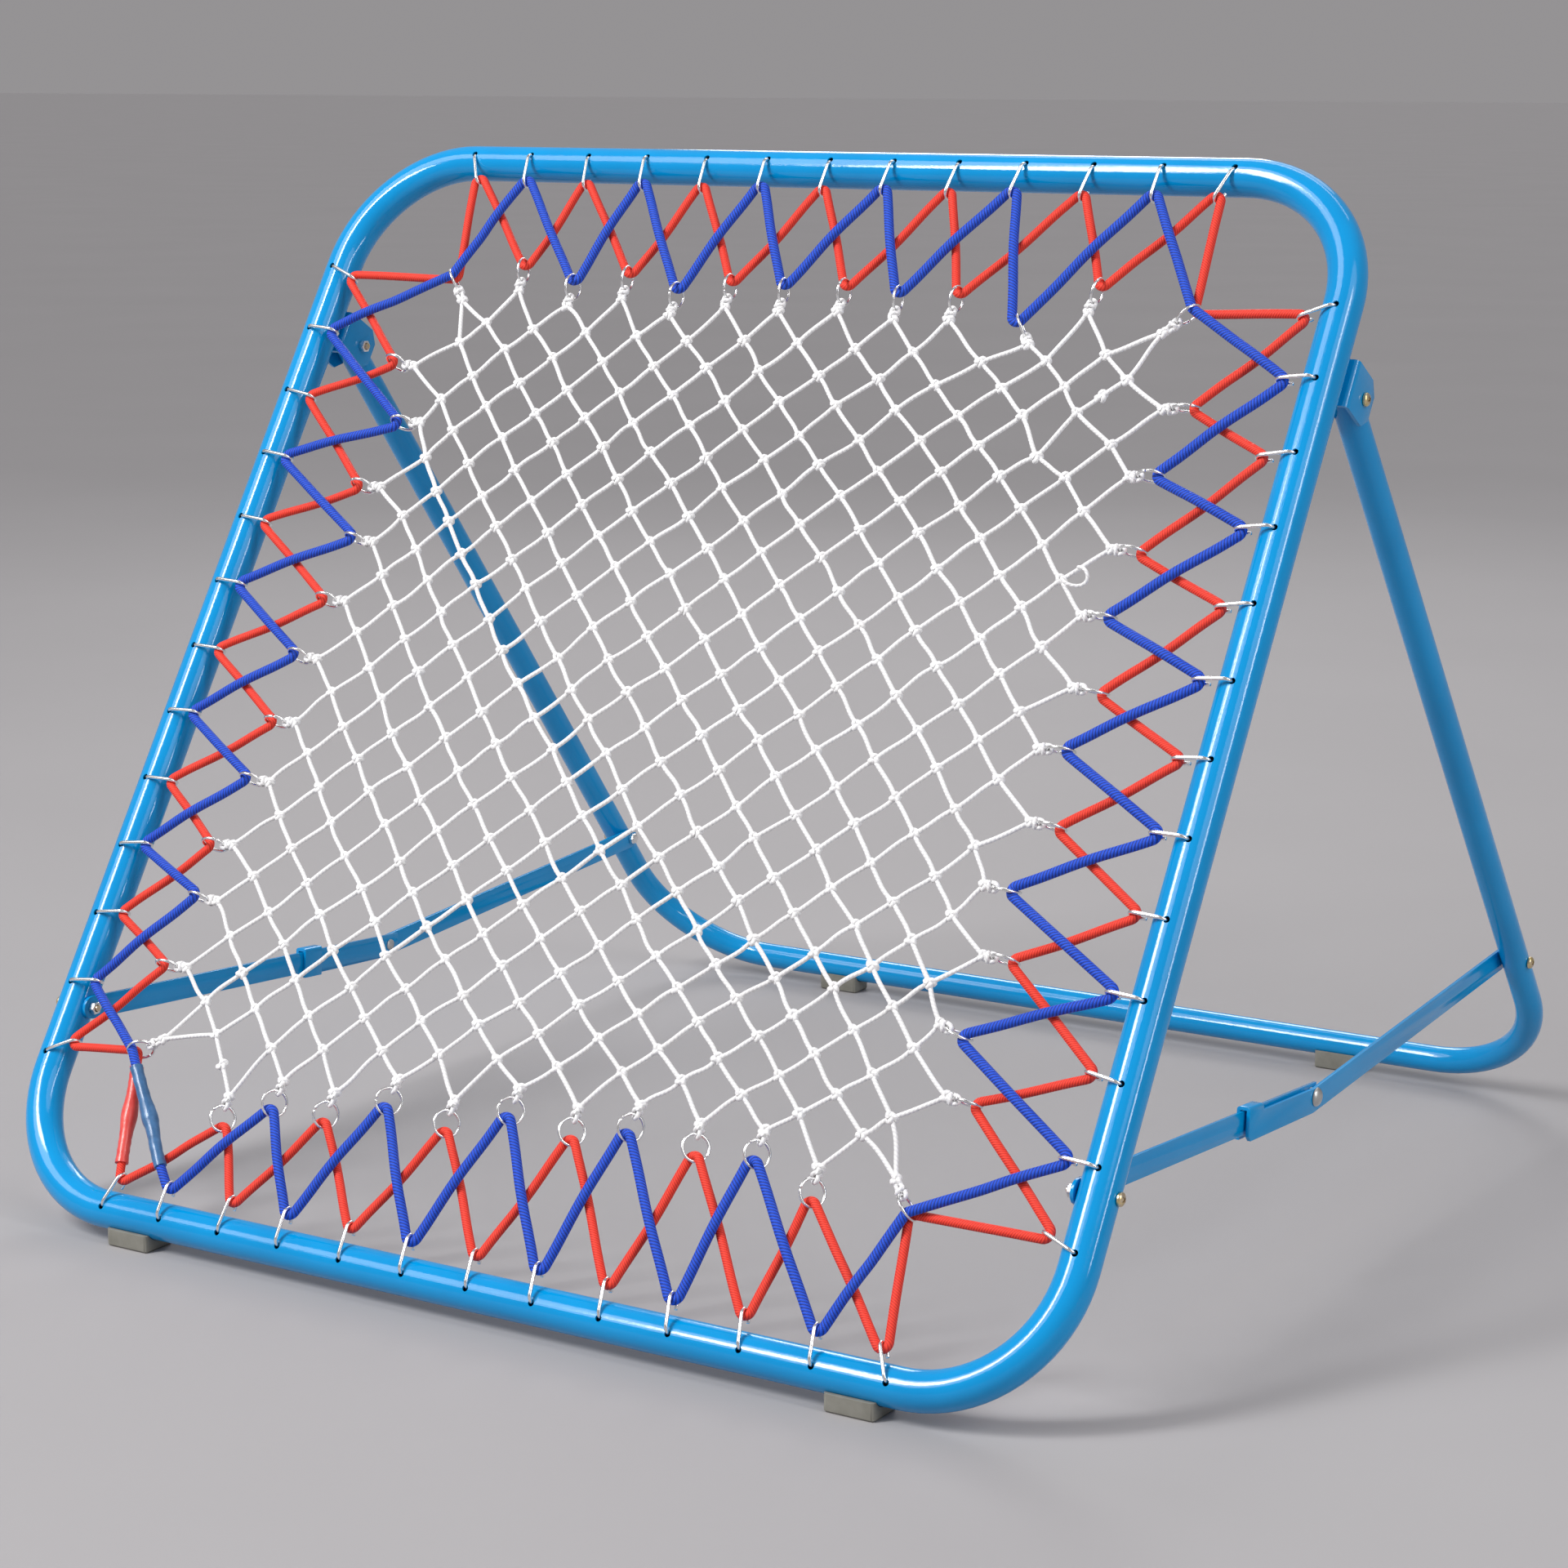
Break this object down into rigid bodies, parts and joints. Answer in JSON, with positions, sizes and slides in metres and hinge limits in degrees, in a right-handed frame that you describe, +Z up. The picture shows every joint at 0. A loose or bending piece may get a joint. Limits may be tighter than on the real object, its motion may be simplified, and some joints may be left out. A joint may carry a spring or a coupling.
{
  "type": "ball rebounder",
  "caption": "Leaning square tube frame with a knotted net on zigzag elastic cords, a folding rear leg and two clip-locked folding braces.",
  "frame": {"origin": "on the floor, under the middle of the outer box of the whole rebounder", "axes": "+Z is up. The net faces -Y and leans back towards +Y; the folding rear leg stands at +Y. +X is the right side for someone who faces the net."},
  "size_m": [1.045, 1.062, 0.8965],
  "materials": {
    "blue_paint": "gloss sky-blue powder coat",
    "zinc": "zinc-plated steel",
    "yellow_zinc": "yellow zinc-plated steel",
    "grey_plastic": "matt moulded grey-beige plastic",
    "white_twine": "twisted white polymer twine",
    "red_cord": "braided red sheath on an elastic core",
    "blue_cord": "braided blue sheath on an elastic core",
    "red_sleeve": "shrunk-on red plastic sleeve",
    "blue_sleeve": "shrunk-on translucent blue plastic sleeve"
  },
  "bodies": {
    "frame": {"front_frame": "blue_paint", "hinge_bracket_left": "blue_paint", "hinge_bracket_right": "blue_paint", "hinge_bolt_left": "yellow_zinc", "hinge_bolt_right": "yellow_zinc", "hinge_nut_left": "zinc", "hinge_nut_right": "zinc", "brace_front_bolt_left": "yellow_zinc", "brace_front_bolt_right": "yellow_zinc", "brace_front_nut_left": "zinc", "brace_front_nut_right": "zinc", "front_foot_left": "grey_plastic", "front_foot_right": "grey_plastic", "net": "white_twine", "red_elastic_cord": "red_cord", "blue_elastic_cord": "blue_cord", "red_cord_sleeve": "red_sleeve", "blue_cord_sleeve": "blue_sleeve"},
    "leg": {"rear_leg": "blue_paint", "rear_foot_left": "grey_plastic", "rear_foot_right": "grey_plastic", "brace_rear_bolt_left": "yellow_zinc", "brace_rear_bolt_right": "yellow_zinc"},
    "front_brace_left": {"brace_front_bar_left": "blue_paint", "brace_rivet_left": "zinc", "brace_spacer_left": "zinc"},
    "rear_brace_left": {"brace_rear_bar_left": "blue_paint", "brace_rear_nut_left": "zinc"},
    "front_brace_right": {"brace_front_bar_right": "blue_paint", "brace_rivet_right": "zinc", "brace_spacer_right": "zinc"},
    "rear_brace_right": {"brace_rear_bar_right": "blue_paint", "brace_rear_nut_right": "zinc"}
  },
  "joints": [
    {"name": "leg_fold", "type": "hinge", "parent": "frame", "child": "leg", "pos_m": [0, -0.02519, 0.71259], "axis": [-1, 0, 0], "range_deg": [0, 70]},
    {"name": "brace_left_lift", "type": "hinge", "parent": "frame", "child": "front_brace_left", "pos_m": [-0.4822, -0.42402, 0.16625], "axis": [1, 0, 0], "range_deg": [0, 36.9]},
    {"name": "brace_left_knee", "type": "hinge", "parent": "front_brace_left", "child": "rear_brace_left", "pos_m": [-0.4875, -0.01072, 0.13482], "axis": [-1, 0, 0], "range_deg": [0, 180.2]},
    {"name": "brace_right_lift", "type": "hinge", "parent": "frame", "child": "front_brace_right", "pos_m": [0.4822, -0.42402, 0.16625], "axis": [1, 0, 0], "range_deg": [0, 36.9]},
    {"name": "brace_right_knee", "type": "hinge", "parent": "front_brace_right", "child": "rear_brace_right", "pos_m": [0.4875, -0.01072, 0.13482], "axis": [-1, 0, 0], "range_deg": [0, 180.2]}
  ],
  "couplings": [
    {"joint": "brace_left_lift", "follows": "leg_fold", "ratio": 0.52582},
    {"joint": "brace_left_knee", "follows": "leg_fold", "ratio": 2.5722},
    {"joint": "brace_right_lift", "follows": "leg_fold", "ratio": 0.52582},
    {"joint": "brace_right_knee", "follows": "leg_fold", "ratio": 2.5722}
  ]
}
